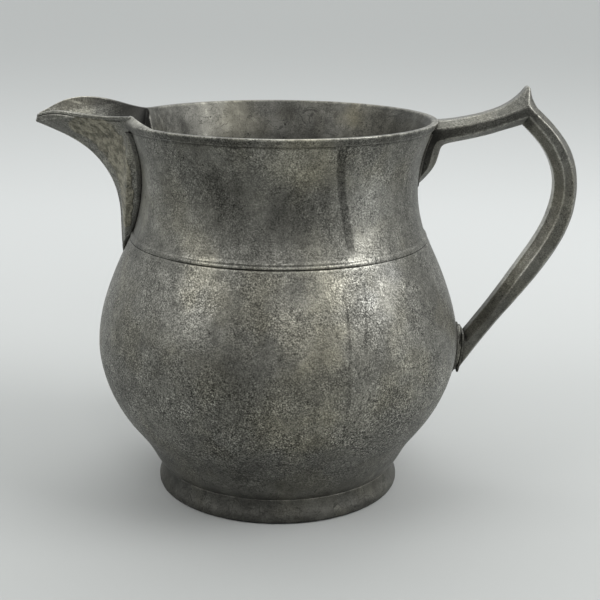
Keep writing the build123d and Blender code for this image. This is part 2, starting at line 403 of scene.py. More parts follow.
def tone_bore_and_rim(piece):
    """The bore is darkest towards the handle, with a dark wedge and lighter streaks by the spout. The
    rim's raised facet towards the near lip has a painted highlight, and its outer band painted shade."""
    points, normals = places(piece)
    height, around = points[:, 2], bearing(points)
    outward = (points[:, :2] * normals[:, :2]).sum(1) / from_axis(points).clip(1)
    inside = step(-outward, 0.1, 0.6)
    bore = -0.10 - 0.07 * (1 - step(np.abs(around - 60), 50, 75))
    low = step(height, RIM_HEIGHT, RIM_HEIGHT - 9)
    wedge_angle, wedge_width = 138.5, 0.8 + 2.2 * low
    wedge = np.exp(-(((around - wedge_angle) / wedge_width) ** 2))
    light_streaks = np.maximum(0, lumps(points * (1, 1, 0.12), 1.1, 41, 2)) * step(around, 132, 150)
    bore = bore - 0.14 * wedge * low + 0.35 * light_streaks
    # Painted highlight on the rim's raised facet, which faces the light above, and painted shade on
    # the rim's outer band, which faces down
    facet = step(height, RIM_HEIGHT + 0.1, RIM_HEIGHT + 0.6) * (points[:, 1] < 0)
    band = (inside < 0.01) * step(height, RIM_HEIGHT - 2.6, RIM_HEIGHT - 2.2)
    band = band * step(height, RIM_HEIGHT - 0.2, RIM_HEIGHT - 0.5)
    store(piece.data, "tone", inside * bore * (1 - facet) + 0.17 * facet - 0.10 * band)


def soften_waist(piece):
    """The bead and the grooves at the waist are crisp in front. Towards the sides they are worn
    down to a plain level, which carries on the slopes of the neck and the belly."""
    points, _ = places(piece)
    radius = from_axis(points)
    rise = points[:, 2] - WAIST_HEIGHT
    plain = 0.95 * step(np.abs(bearing(points) - CRISP_ANGLE), 14, 46)
    level = 52.1 - 0.28 * rise - 0.22 * np.minimum(rise, 0)
    outer = (np.abs(rise) < 2.1) & (radius > 51.1)
    aim_at = radius + plain * outer * (level - radius) * (1 - step(np.abs(rise), 1.6, 2.1))
    points[:, :2] *= (aim_at / radius.clip(1))[:, None]
    move_to(piece, points)


def make_lower_belly():
    """The bowl from the middle of its floor up to the girth."""
    in_foot = bowl_outside[:, 0] < 42
    outside = np.concatenate([
        bowl_outside[in_foot][::16],
        profile_part(bowl_outside[~in_foot], FOOT_TOP, GIRTH_HEIGHT - 0.1, 60),
        beside_girth(bowl_outside, (-0.02, 0)),
    ])
    inside = bowl_inside[bowl_inside[:, 1] < GIRTH_HEIGHT - 0.3][::14]
    inside[0, 0] = 0
    inside = np.concatenate([inside, beside_girth(bowl_inside, (-0.02, 0))])
    piece = turned("lower_belly_casting", np.concatenate([outside, inside[::-1]]), closed=False)
    cast_surface(piece, 3)
    return piece


def make_upper_belly():
    """The belly above the girth. Its top edge is a small shoulder that catches the light just under
    the waist joint."""
    top = WAIST_HEIGHT
    outside = profile_part(bowl_outside, GIRTH_HEIGHT + 0.3, top - 2.6, 50)
    shoulder = [
        (53.05, top - 1.9), (52.75, top - 1.3), (52.55, top - 0.8),
        (52.40, top - 0.4), (52.25, top - 0.12), (51.95, top), (51.3, top),
    ]
    inside = profile_part(bowl_inside, GIRTH_HEIGHT + 0.3, top - 1.0, 36)
    girth_out = beside_girth(bowl_outside, (0, 0.02))
    girth_in = beside_girth(bowl_inside, (0, 0.02))
    loop = np.concatenate([girth_out, outside, shoulder, inside[::-1], girth_in[::-1]])
    piece = turned("upper_belly_casting", loop, closed=True)
    soften_waist(piece)
    cast_surface(piece, 3)
    return piece


def slot_angle(loop):
    """The half-angle of the neck's opening into the spout, just outside the spout's own channel."""
    height = loop[:, 1]
    bore = np.interp(height, neck_inside[:, 1], neck_inside[:, 0])
    half = bore
    for _ in range(12):
        half = inner_half(np.stack([-np.sqrt(bore**2 - half.clip(0, 40) ** 2), height], 1))
    half = (half + SLOT_MARGIN) * step(height, 94.4, 96.2)
    return np.arcsin(np.clip(half / loop[:, 0], 0, 0.9)) * (half > 0)


def make_neck():
    """A lower edge with a bead and a fine groove, and a rim that ramps up to the near lip."""
    foot = WAIST_HEIGHT
    edge = [
        (51.0, foot + 0.1), (51.55, foot + 0.15), (51.95, foot + 0.35),
        (52.08, foot + 0.75), (51.9, foot + 1.15),
    ]
    groove = [(51.45, foot + 1.4), (51.2, foot + 1.55), (51.3, foot + 1.8)]
    outside = profile_part(neck_outside, foot + 2.2, 129.2, 46)
    inside = profile_part(neck_inside, foot + 0.4, 129.9, 54)
    outer = np.concatenate([edge, groove, outside])
    loop = np.concatenate([outer, RIM, inside[::-1]])
    assert len(outer) == len(inside)
    piece = turned("neck_casting", loop, closed=True, opening=slot_angle)
    draw_up_rim(piece)
    soften_waist(piece)
    cast_surface(piece, 3)
    tone_bore_and_rim(piece)
    return piece


def draw_up_rim(piece):
    """Raises the rim beside the spout: its inner edge on the near side, and all of it on the far
    side."""
    points, _ = places(piece)
    height, radius, gone = points[:, 2], from_axis(points), from_spout(points)
    near = points[:, 1] < 0
    inward = np.clip((54.1 - radius) / 1.6, 0, 1) * ((height > 131.9) | (radius < 52.4))
    ramp = near * np.clip((41 - gone) / 16, 0, 1) * step(height, 128.8, 131.2)
    points[:, 2] += NEAR_RISE * ramp * inward
    far = (~near) * (1 - step(gone, 20, 30)) * step(height, 128.8, 131.8)
    points[:, 2] += FAR_RISE * far
    move_to(piece, points)


def make_foot():
    """A low ring, hollow underneath."""
    outside = smooth(FOOT, 22)
    inside = np.stack([np.full(8, 39.6), np.linspace(7.4, 0.5, 8)], 1)
    loop = np.concatenate([outside, [(41.6, 8.7)], inside, [(39.8, 0.15), (40.2, 0.0), (41.2, 0.0)]])
    piece = turned("foot_ring_casting", loop, closed=True)
    cast_surface(piece, 7, 0.08)
    return piece


# The spout


def cheek(keel, corner, half_width):
    """The half-width of the spout at places (x, z) in side view: straight lines run from the
    keel to the corner, so a place's share of its own line gives its share of the corner's y."""
    front = [(keel[0][0], 142.0)]
    foot = [(-40.0, keel[-1][1])]
    ridge = np.concatenate([front, keel, foot])
    way = ridge - (corner[0], corner[2])
    turn = np.arctan2(way[:, 1], way[:, 0]) % (2 * np.pi)
    reach = np.hypot(way[:, 0], way[:, 1])

    def half(places_xz):
        gone = np.asarray(places_xz, float) - (corner[0], corner[2])
        angle = np.arctan2(gone[..., 1], gone[..., 0]) % (2 * np.pi)
        share = 1 - np.hypot(gone[..., 0], gone[..., 1]) / np.interp(angle, turn, reach)
        return half_width + np.clip(share, 0, 1) * (corner[1] - half_width)

    return half


keel_curve = smooth(KEEL, 240)
floor_curve = offset(keel_curve, SPOUT_WALL)
outer_half = cheek(keel_curve, CHEEK_CORNER, KEEL_HALF_WIDTH)
inner_corner = (CHEEK_CORNER[0] + 0.9, CHEEK_CORNER[1] - 1.5, CHEEK_CORNER[2])
inner_half = cheek(floor_curve, inner_corner, KEEL_HALF_WIDTH - 0.7)

# The spout's cross-sections, how many of them are on the lip, and the places down each cheek
SPOUT_COLUMNS = 150
ON_LIP = 69
SPOUT_ROWS = 34


def seam_place(half, height):
    """Where a cheek's surface passes into the neck at a height: the outside a little way into the
    metal, and the inside right up to the bore."""
    above_rim = 0 if half is not inner_half else step(height, RIM_HEIGHT - 1.5, RIM_HEIGHT + 1)
    bury = 0.7 if half is outer_half else WALL + 0.02 - 1.2 * above_rim
    radius = min(float(body_radius(height)), 53.9) - bury
    x = np.linspace(-70, -40, 1200)
    y = half(np.stack([x, np.full_like(x, height)], 1))
    inside = np.hypot(x, y) <= radius
    return (x[np.argmax(inside)], height)


def spout_edge(lip, half):
    """The upper edge of a cheek in side view: along the lip, then down the seam on the neck."""
    lip_curve = smooth(lip, 400)

    def height(x):
        return float(np.interp(x, lip_curve[:, 0], lip_curve[:, 1]))

    root_x = -50.0
    for _ in range(6):
        root_x = seam_place(half, height(root_x))[0]
    tip, foot = KEEL[0][0] + 0.8, 85.2
    edge = [(x, height(x)) for x in np.linspace(tip, root_x, ON_LIP)]
    for z in np.linspace(height(root_x), foot, SPOUT_COLUMNS - ON_LIP + 1)[1:]:
        edge.append(seam_place(half, z))
    return np.array(edge)


def residue_mask(x, z):
    """Where rough solder was left on the near cheek, from 0 to 1."""
    path = smooth([(-68, 129.5), (-61, 127.5), (-56, 122), (-53, 114), (-52.2, 106), (-52.8, 96)], 60)
    width = np.interp(np.linspace(0, 1, 60), [0, 0.25, 0.5, 1], [3.2, 5.6, 3.8, 1.6])
    away = np.hypot(x[:, None] - path[:, 0], z[:, None] - path[:, 1]) / width
    return 1 - step(away.min(1), 0.7, 1.25)


def cheek_run(top, base, half, along, outside):
    """Places (x, z) and half-widths down a cheek, from its lip to its base. Outside, the lip is a
    raised band with a groove under it, which end at the neck, and the keel is rounded. Along is how
    far the run stands between the tip, at 0, and the lip's root, at 1."""
    tall = np.interp(along, [0, 0.3, 0.6, 1], [0.7, 1.0, 1.5, 1.7])
    length = np.linalg.norm(base - top)
    fine = np.array([0, 0.18, 0.4, 0.75, 1.0, 1.1, 1.2, 1.3, 1.45, 1.8]) * tall
    fine = np.minimum(fine, 0.7 * length * np.linspace(0, 1, len(fine)))
    coarse = np.linspace(fine[-1], length, SPOUT_ROWS - len(fine) + 1)[1:]
    down = np.concatenate([fine, coarse])[:, None] / max(length, 1e-6)
    xz = top + (base - top) * down
    y = half(xz)
    if outside:
        deep = np.interp(along, [0, 0.4, 0.7, 1], [1.2, 1.2, 0.5, 0.8])
        fade = lip_fade(along)
        depth = down[:, 0] * length
        band = (1 - step(depth, tall, 1.1 * tall)) * fade
        crack = np.exp(-(((depth - 1.25 * tall) / (0.14 * tall + 0.05)) ** 2)) * fade
        y = y + 0.16 * band - 0.28 * deep * crack - 0.18 * (depth < 0.05) * fade
        round_keel = 1 - step(length - depth, 0, 2.2)
        y = y - 0.55 * round_keel * np.minimum(1, length / 4)
    return xz, y


def lip_fade(along):
    """1 along the lip, and 0 just past its root."""
    return 1 - step(along, 1.0, 1.08)


def spout_section(tops, keel, floor, along):
    """One closed loop: down the near cheek, round the keel, up the far cheek, over its lip and back
    along the inside."""
    sides = {}
    for hand in (-1, 1):
        for wall, half, base in (("out", outer_half, keel), ("in", inner_half, floor)):
            xz, y = cheek_run(tops[hand, wall], base, half, along, wall == "out")
            sides[hand, wall] = np.stack([xz[:, 0], hand * y, xz[:, 1]], 1)
    lead = keel - floor
    lead = lead / np.linalg.norm(lead)
    edge = keel + 0.45 * lead
    middle_keel = [(edge[0], y, edge[1]) for y in (-0.55, 0.0, 0.55)]
    middle_floor = [(floor[0], y, floor[1]) for y in (0.45, 0.0, -0.45)]
    over = []
    for hand in (1, -1):
        outer, inner = sides[hand, "out"][0], sides[hand, "in"][0]
        lift = np.array([0, 0, 0.06 * lip_fade(along)])
        crown = [outer + (inner - outer) * u + lift for u in (0.3, 0.7)]
        over.append(crown if hand == 1 else crown[::-1])
    return np.concatenate([
        sides[-1, "out"], middle_keel, sides[1, "out"][::-1], over[0],
        sides[1, "in"], middle_floor, sides[-1, "in"][::-1], over[1],
    ])


def make_spout():
    """Cross-sections from the tip to the foot, with a rounded tip."""
    shares, ends = np.linspace(0, 1, SPOUT_COLUMNS), np.linspace(0, 1, len(keel_curve))
    keel = np.stack([np.interp(shares, ends, keel_curve[:, k]) for k in (0, 1)], 1)
    floor = np.stack([np.interp(shares, ends, floor_curve[:, k]) for k in (0, 1)], 1)
    edges = {
        (hand, wall): spout_edge(lip, half)
        for hand, lip in ((-1, NEAR_LIP), (1, FAR_LIP))
        for wall, half in (("out", outer_half), ("in", inner_half))
    }
    loops = []
    for i in range(SPOUT_COLUMNS):
        tops = {side: edge[i] for side, edge in edges.items()}
        loops.append(spout_section(tops, keel[i], floor[i], i / ON_LIP))
    first = loops[0]
    centre = first.mean(0)
    for shrink, forward in ((0.96, 0.1), (0.85, 0.16)):
        loops.insert(0, centre + (first - centre) * (1, shrink, shrink) + (-forward, 0, 0))
    count = len(first)
    points = np.concatenate(loops)
    faces = tube_faces(len(loops), count)
    faces.append(tuple(range(count)))
    faces.append(tuple(reversed(range(len(points) - count, len(points)))))
    piece = new_piece("spout_casting", points, faces)
    points, normals = places(piece)
    x, y, z = points.T
    residue = residue_mask(x, z) * (y < 0) * (normals[:, 1] < -0.2)
    rough = lumps(points, 1.5, 11, 3) * 0.3 + 0.2
    push(piece, 0.06 * lumps(points, 9, 12, 2) + residue * rough * step(z, 110, 121))
    store(piece.data, "residue", residue)
    # Painted light on the far inner wall by the tip, painted shadow inside the spout towards its
    # root, and a painted glint on the far inner wall
    inside = normals[:, 1] * y < 0
    painted_shadow = inside * step(x, -66, -53)
    front = inside * (y > 0) * (1 - step(x, -71, -64))
    painted_glint = np.exp(-(((z - 135.5 + 0.35 * (x + 71)) / 0.35) ** 2) - ((x + 71.3) / 2.2) ** 2)
    painted_glint = inside * (y > 0) * painted_glint
    store(piece.data, "tone", 0.14 * front - 0.55 * painted_shadow + 0.45 * painted_glint)
    return piece


# The handle


def outer_run(edges, counts):
    """Stations along the arm's top, the spur and the back of the grip."""
    arm, tip, grip = counts
    top = smooth(edges["top"], 300)
    x = np.linspace(edges["top"][0][0], edges["top"][-1][0], arm)
    arm_top = np.stack([x, np.interp(x, top[:, 0], top[:, 1])], 1)
    corners = np.array(edges["spur"], float)
    spur = np.concatenate([corners[:2], smooth(corners[2:], tip - 2)])
    end = np.array([(GRIP_END_X, edges["outer"][-1][1])])
    return np.concatenate([arm_top[:-1], spur, smooth(edges["outer"], grip)[1:], end])


def inner_run(edges, counts):
    """The places across from them: the bracket, the underside, one corner and the grip's front."""
    arm, tip, grip = counts
    on_bracket = arm // 3
    bracket = smooth(edges["bracket"], on_bracket)
    under = smooth(edges["under"], arm - on_bracket)
    corner = np.repeat([edges["under"][-1]], tip - 1, 0)
    end = np.array([(GRIP_END_X, edges["inner"][-1][1])])
    return np.concatenate([bracket, under, corner, smooth(edges["inner"], grip)[1:], end])


def handle_light_and_shade(points, facet):
    """Painted light and shade on the bar: its outer and inner faces lighter and its sides darker, as
    the light falls on them, with more painted shade on the bracket's sides and on the inner face by
    the pad.
    """
    x, z = points[:, 0], points[:, 2]
    grip = step(x - 0.4 * (z - 130), 85, 87)
    grip = np.maximum(grip, step(z, 126, 122) * (x > 62))
    bracket = step(x + 0.5 * (z - 118), 62, 57) * (x < 66)
    outer, side, inner = np.isin(facet, (0, 1, 7)), np.isin(facet, (2, 6)), np.isin(facet, (3, 4, 5))
    on_arm = 0.05 * outer - 0.12 * side + 0.07 * inner
    on_grip = 0.02 * outer + 0.01 * side + 0.28 * inner
    tone = on_arm + (on_grip - on_arm) * grip
    tone = tone + bracket * (-0.20 * side - 0.04 * inner)
    tone = tone - 0.14 * side * step(x, 66, 54) * (z > 124)
    near_pad = step(z, 84, 66) * (x > 62)
    return tone - near_pad * (0.34 * inner + 0.06 * side)


def make_handle():
    """Eight-sided sections along the bar: a flat, a bevel and a side, each with soft corners. The
    bar's end goes a little way into the body."""
    counts = (70, 16, 150)
    flat_out, side_out = outer_run(FLAT_EDGES, counts), outer_run(SIDE_EDGES, counts)
    flat_in, side_in = inner_run(FLAT_EDGES, counts), inner_run(SIDE_EDGES, counts)

    def at(edge, y):
        return np.stack([edge[:, 0], np.full(len(edge), y), edge[:, 1]], 1)

    wide, flat = HANDLE_HALF_WIDTH, HANDLE_HALF_FLAT
    corners = [
        at(flat_out, flat), at(flat_out, -flat), at(side_out, -wide), at(side_in, -wide),
        at(flat_in, -flat), at(flat_in, flat), at(side_in, wide), at(side_out, wide),
    ]
    middle = sum(corners) / len(corners)
    near_corner, blunt = 0.3, 0.10
    rings, facets = [], []
    for k in range(8):
        one, other = corners[k], corners[(k + 1) % 8]
        long = np.linalg.norm(other - one, axis=1)[:, None].clip(0.9)
        inward = middle - one
        inward /= np.linalg.norm(inward, axis=1)[:, None].clip(1e-6)
        rings.append(one + blunt * inward)
        edge = near_corner / long
        shares = [edge, 0.5 * edge + 0.17, 0.5 + 0 * edge, 0.83 - 0.5 * edge, 1 - edge]
        if k in (2, 6):
            shares = [edge + (1 - 2 * edge) * u for u in (0, 0.12, 0.3, 0.5, 0.7, 0.88, 1)]
        rings += [one + (other - one) * u for u in shares]
        facets += [k] * (1 + len(shares))
    stations, count = len(flat_out), len(rings)
    points = np.stack(rings, 1).reshape(-1, 3)
    tone = handle_light_and_shade(points, np.tile(facets, stations))
    faces = tube_faces(stations, count)
    faces.append(tuple(reversed(range(count))))
    faces.append(tuple(range((stations - 1) * count, stations * count)))
    height, bury, rim_radius = points[:, 2], 0.8, 53.4
    limit = np.where(height > 129, rim_radius, body_radius(height) - bury)
    points[:, :2] *= np.maximum(1, limit / from_axis(points))[:, None]
    piece = new_piece("handle_casting", points, faces, tone)
    points, _ = places(piece)
    push(piece, 0.05 * lumps(points, 6, 21, 2) + 0.02 * lumps(points, 1.6, 22, 2))
    return piece


# Pieces that start from their CAD solid


def drop_crumbs(mesh, smallest=200):
    """Deletes the islands of a mesh that have fewer vertices than smallest."""
    work = bmesh.new()
    work.from_mesh(mesh)
    left = set(work.verts)
    crumbs = []
    while left:
        island, edge = set(), [left.pop()]
        while edge:
            vert = edge.pop()
            island.add(vert)
            beside = {e.other_vert(vert) for e in vert.link_edges} & left
            left -= beside
            edge.extend(beside)
        if len(island) < smallest:
            crumbs.extend(island)
    bmesh.ops.delete(work, geom=crumbs, context="VERTS")
    work.to_mesh(mesh)
    work.free()


def from_cad(node, name, voxel, lump, size, seed, proud=-1.0):
    """A dense, lumpy copy of a CAD solid with soft edges, which stays inside the solid unless its
    lumps stand proud."""
    piece = add_object(name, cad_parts[node].data.copy())
    weld = piece.modifiers.new("weld", "WELD")
    weld.merge_threshold = 0.004 * MM
    remesh = piece.modifiers.new("remesh", "REMESH")
    remesh.mode = "VOXEL"
    remesh.voxel_size = voxel * MM
    soften = piece.modifiers.new("soften", "SMOOTH")
    soften.factor = 0.5
    soften.iterations = 3
    shown = piece.evaluated_get(bpy.context.evaluated_depsgraph_get())
    dense = bpy.data.meshes.new_from_object(shown)
    piece.modifiers.clear()
    drop_crumbs(dense)
    piece.data = dense
    dense.name = name
    dense.shade_smooth()
    points, _ = places(piece)
    push(piece, lump * (lumps(points, size, seed, 3) + proud))
    return piece


def sink(piece, depth):
    """Sets a bead deeper into the body, and twice as deep from the bracket's lower end down."""
    points, _ = places(piece)
    deeper = depth * (1 + step(points[:, 2], 115, 109))
    points[:, :2] *= (1 - deeper / from_axis(points))[:, None]
    move_to(piece, points)


# Materials


class Paint:
    """Wires the nodes of a material or a world. Each method gives a socket of the node it makes:
    add(value, amount, share) is the value and that share of the amount, and rise() goes smoothly
    from start at low to stop at high."""

    def __init__(self, owner, shader="Principled BSDF", place="Object"):
        owner.use_nodes = True
        self.tree = owner.node_tree
        self.shader = self.tree.nodes[shader]
        self.place = self.tree.nodes.new("ShaderNodeTexCoord").outputs[place]

    def node(self, kind, output=0, settings=None, **inputs):
        made = self.tree.nodes.new(kind)
        for key, value in (settings or {}).items():
            setattr(made, key, value)
        for key, value in inputs.items():
            socket = made.inputs[int(key[1:])] if key[1:].isdigit() else made.inputs[key]
            self.join(value, socket)
        return made.outputs[output]

    def join(self, value, socket):
        if isinstance(value, bpy.types.NodeSocket):
            self.tree.links.new(value, socket)
        else:
            socket.default_value = value

    def math(self, operation, one, other=0.0, third=0.0, clamp=False):
        settings = {"operation": operation, "use_clamp": clamp}
        return self.node("ShaderNodeMath", 0, settings, _0=one, _1=other, _2=third)

    def times(self, one, other):
        return self.math("MULTIPLY", one, other)

    def add(self, value, amount, share):
        return self.math("MULTIPLY_ADD", amount, share, value)

    def vector(self, operation, one, other, third=(0, 0, 0)):
        settings = {"operation": operation}
        return self.node("ShaderNodeVectorMath", 0, settings, _0=one, _1=other, _2=third)

    def rise(self, value, low, high, start=0.0, stop=1.0):
        inputs = {"_0": value, "_1": low, "_2": high, "_3": start, "_4": stop}
        return self.node("ShaderNodeMapRange", 0, {"interpolation_type": "SMOOTHSTEP"}, **inputs)

    def noise(self, size, detail, rough, place=None, distortion=0.0):
        inputs = {"Vector": place or self.place, "Scale": 1 / (size * MM)}
        inputs |= {"Detail": detail, "Roughness": rough, "Distortion": distortion}
        return self.node("ShaderNodeTexNoise", **inputs)

    def mix(self, share, one, other, blend="MIX", clamp=True):
        settings = {"data_type": "RGBA", "blend_type": blend, "clamp_factor": clamp}
        return self.node("ShaderNodeMix", 2, settings, _0=share, _6=one, _7=other)

    def attribute(self, name):
        return self.node("ShaderNodeAttribute", 2, {"attribute_name": name})

    def axes(self):
        split = self.tree.nodes.new("ShaderNodeSeparateXYZ")
        self.join(self.place, split.inputs[0])
        return split.outputs

    def finish(self, inputs):
        for name, value in inputs.items():
            self.join(value, self.shader.inputs[name])


def grey(value):
    """A grey of the metal in linear light, slightly towards straw."""
    return (value, value, 0.93 * value, 1.0)


# Soft marks on the body, some of them painted highlights and painted reflections: (place in mm,
# radius in mm, how much lighter or darker, how warm)
MARKS_AND_HIGHLIGHTS = [
    ((8, -50, 124), 13, 0.11, 0.6),
    ((-19, -45, 111), 11, -0.1, 0.1),
    ((6, -48, 107), 13, -0.1, 0.1),
    ((31, -37, 112), 14, 0.13, -0.2),
    ((-25, -43, 101), 13, 0.18, 0.1),
    ((-22, -49, 86), 9, 0.11, 0.6),
    ((-26, -54, 70), 13, 0.06, 0.1),
    ((-2, -55, 83), 12, 0.02, 0.2),
    ((16, -52, 86), 11, 0.16, 0.7),
    ((35, -43, 82), 10, 0.1, -0.4),
    ((23, -57, 68), 11, 0.12, 0.2),
    ((9, -60, 71), 14, 0.09, 0.6),
    ((-11, -63, 52), 16, -0.09, 0.1),
    ((33, -55, 50), 14, 0.05, 0.1),
    ((8, -61, 42), 13, 0.03, 0.5),
    ((12, -50, 98), 10, 0.08, 0.3),
    ((28, -42, 98), 10, 0.19, 0.1),
    ((42, -46, 57), 14, 0.08, 0),
    ((22, -56, 44), 14, 0.11, 0.2),
    ((-50, -14, 90), 12, -0.08, 0),
    ((-48, -26, 42), 15, -0.06, 0),
    ((-14, -47, 121), 12, -0.04, 0.1),
    ((-8, -60, 45), 13, 0.05, 0.2),
    ((-47, -14, 112), 12, 0.1, 0),
    ((-36, -33, 101), 10, 0.08, 0),
    ((-5, -48, 103), 9, -0.05, 0),
    ((27, 42, 127), 7, 0.05, 1.0),
    ((-22, 46, 124), 16, 0.05, 0.3),
]

# Runs of an old liquid: (angle about Z at the top and at the foot, height of the top and of the
# foot in mm, half-width in degrees, how dark)
RUNS = [
    (-67.0, -62.0, 128.5, 95.5, 1.649, 0.22),
    (-67.2, -68.8, 84.0, 40.0, 0.484, 0.12),
    (-59.4, -62.8, 86.0, 64.0, 0.519, 0.10),
    (-64.0, -65.5, 86.0, 75.0, 2.248, 0.07),
    (-96.0, -95.0, 60.0, 20.0, 1.375, 0.05),
    (-112.0, -110.0, 120.0, 92.0, 1.530, 0.04),
]


def add_marks_and_highlights(paint, light, warmth):
    """The soft marks and painted highlights, with wavering outlines, and darker towards the bottom of
    the belly.
    """
    wobble = paint.node("ShaderNodeTexNoise", 1, Vector=paint.place, Scale=90.0, Detail=3.0)
    wobble = paint.vector("MULTIPLY_ADD", wobble, (0.016,) * 3, (-0.008,) * 3)
    place = paint.vector("ADD", paint.place, wobble)
    for centre, radius, lift, warm in MARKS_AND_HIGHLIGHTS:
        middle = tuple(c * MM for c in centre)
        away = paint.node("ShaderNodeVectorMath", 1, {"operation": "DISTANCE"}, _0=place, _1=middle)
        here = paint.rise(away, 1.25 * radius * MM, 0.1 * radius * MM)
        light = paint.add(light, here, lift)
        warmth = paint.add(warmth, here, warm)
    low = paint.rise(paint.axes()[2], 48 * MM, 12 * MM)
    return paint.add(light, low, -0.05), warmth


def add_runs(paint, light):
    """The runs of old liquid down the outside. Each leans from its top angle to its foot angle."""
    x, y, z = paint.axes()
    ragged = paint.add(-0.006, paint.noise(2.5, 3, 0.6), 0.012)
    angle = paint.math("ADD", paint.math("ARCTAN2", y, x), ragged)
    outside = paint.attribute("outside")
    for top_angle, foot_angle, top, foot, half_width, dark in RUNS:
        centre = paint.rise(z, foot * MM, top * MM, math.radians(foot_angle), math.radians(top_angle))
        away = paint.math("ABSOLUTE", paint.math("SUBTRACT", angle, centre))
        half = math.radians(half_width)
        soft = 0.2 * half + 0.003
        here = paint.rise(away, half + soft, half - soft)
        here = paint.times(here, paint.rise(z, (foot - 1.5) * MM, (foot + 1.5) * MM))
        here = paint.times(here, paint.rise(z, (top + 0.8) * MM, (top - 0.8) * MM))
        here = paint.times(here, outside)
        light = paint.add(light, here, -dark)
    return light


def open_grain(paint, body):
    """Fine specks and coarser pores, about 0, clearer in some places than in others."""
    fine = paint.add(-0.85, paint.noise(0.5, 1.5, 0.6), 1.7)
    coarse = paint.math("SUBTRACT", paint.noise(1.2, 2, 0.6), 0.5)
    grains = paint.add(fine, coarse, 0.5)
    clear = paint.rise(paint.noise(11, 4, 0.65), 0.34, 0.64, 0.45, 0.95)
    grains = paint.times(grains, clear)
    return paint.times(grains, paint.attribute("grain")) if body else grains


def add_flaws(paint, light, patches, body):
    """Mottling, hanging streaks on the body, dark veins in the lighter patches, and pits."""
    mottle = paint.math("SUBTRACT", paint.noise(3.0, 3, 0.62), 0.5)
    light = paint.add(light, mottle, 0.22)
    if body:
        hanging = paint.vector("MULTIPLY", paint.place, (1, 1, 0.13))
        streaks = paint.math("SUBTRACT", paint.noise(5.5, 4, 0.62, hanging), 0.5)
        light = paint.add(light, streaks, 0.24)
    veins = paint.math("ABSOLUTE", paint.math("SUBTRACT", paint.noise(10, 4, 0.6, None, 1.2), 0.5))
    veins = paint.times(paint.rise(veins, 0.022, 0.004), paint.rise(patches, 0.44, 0.58))
    light = paint.add(light, veins, -0.14)
    pits = paint.rise(paint.noise(2.0, 1.5, 0.5), 0.285, 0.245)
    return paint.add(light, pits, -0.2)


def add_wear_and_shade(paint, light):
    """Bright worn edges, dirt in the corners, and painted shade where surfaces nearly meet."""
    worn = paint.rise(paint.noise(1.8, 3, 0.6), 0.36, 0.6, 0.25, 1.0)
    worn = paint.times(paint.attribute("wear"), worn)
    light = paint.add(light, worn, 0.42)
    # Tone stored on the pieces, among it painted highlights and painted shade
    light = paint.math("ADD", light, paint.attribute("tone"))
    light = paint.add(light, paint.attribute("grime"), -0.3)
    # Painted shade: darker where ambient occlusion finds surfaces nearly meeting
    shade = paint.node("ShaderNodeAmbientOcclusion", 1, {"samples": 6}, Distance=2.0 * MM)
    light = paint.add(light, paint.rise(shade, 0.85, 0.2), -0.24)
    return paint.math("ADD", light, 0.0, clamp=True)


def metal_colour(paint, light, warmth):
    """The greys of the metal from dark to light, with a straw tint where it is warm."""
    ramp = paint.tree.nodes.new("ShaderNodeValToRGB")
    ends = ramp.color_ramp.elements
    ends[0].color, ends[1].color = grey(0.014), grey(0.56)
    for at, value in ((0.25, 0.05), (0.5, 0.135), (0.75, 0.29)):
        ends.new(at).color = grey(value)
    paint.join(light, ramp.inputs[0])
    straw = (1.06, 1.02, 0.90, 1.0)
    return paint.mix(warmth, ramp.outputs[0], straw, blend="MULTIPLY", clamp=False)


def add_residue(paint, colour, roughness, height):
    """Clumps of old solder: a straw-coloured crust with small holes and a dark outline."""
    left = paint.attribute("residue")
    clumps = paint.noise(3.6, 3, 0.6, None, 0.6)
    mask = paint.add(left, paint.math("SUBTRACT", clumps, 0.49), 3.0)
    edge = paint.times(paint.rise(mask, 0.1, 0.4), paint.rise(mask, 0.8, 0.45))
    mask = paint.times(paint.rise(mask, 0.3, 0.65), paint.rise(left, 0.05, 0.3))
    blotch = paint.noise(2.2, 3, 0.6)
    dull, pale = (0.15, 0.142, 0.11, 1), (0.34, 0.322, 0.255, 1)
    in_hole, outline = (0.05, 0.048, 0.036, 1), (0.035, 0.034, 0.026, 1)
    crust = paint.mix(paint.rise(blotch, 0.38, 0.62), dull, pale)
    holes = paint.rise(paint.noise(0.85, 2, 0.55), 0.44, 0.36)
    crust = paint.mix(paint.times(holes, 0.42), crust, in_hole)
    colour = paint.mix(paint.times(mask, 0.85), colour, crust)
    edge = paint.times(edge, left)
    colour = paint.mix(paint.times(edge, 0.55), colour, outline)
    height = paint.add(height, paint.times(mask, holes), -0.12 * MM)
    height = paint.add(height, paint.times(mask, blotch), 0.3 * MM)
    return colour, paint.add(roughness, mask, 0.15), height


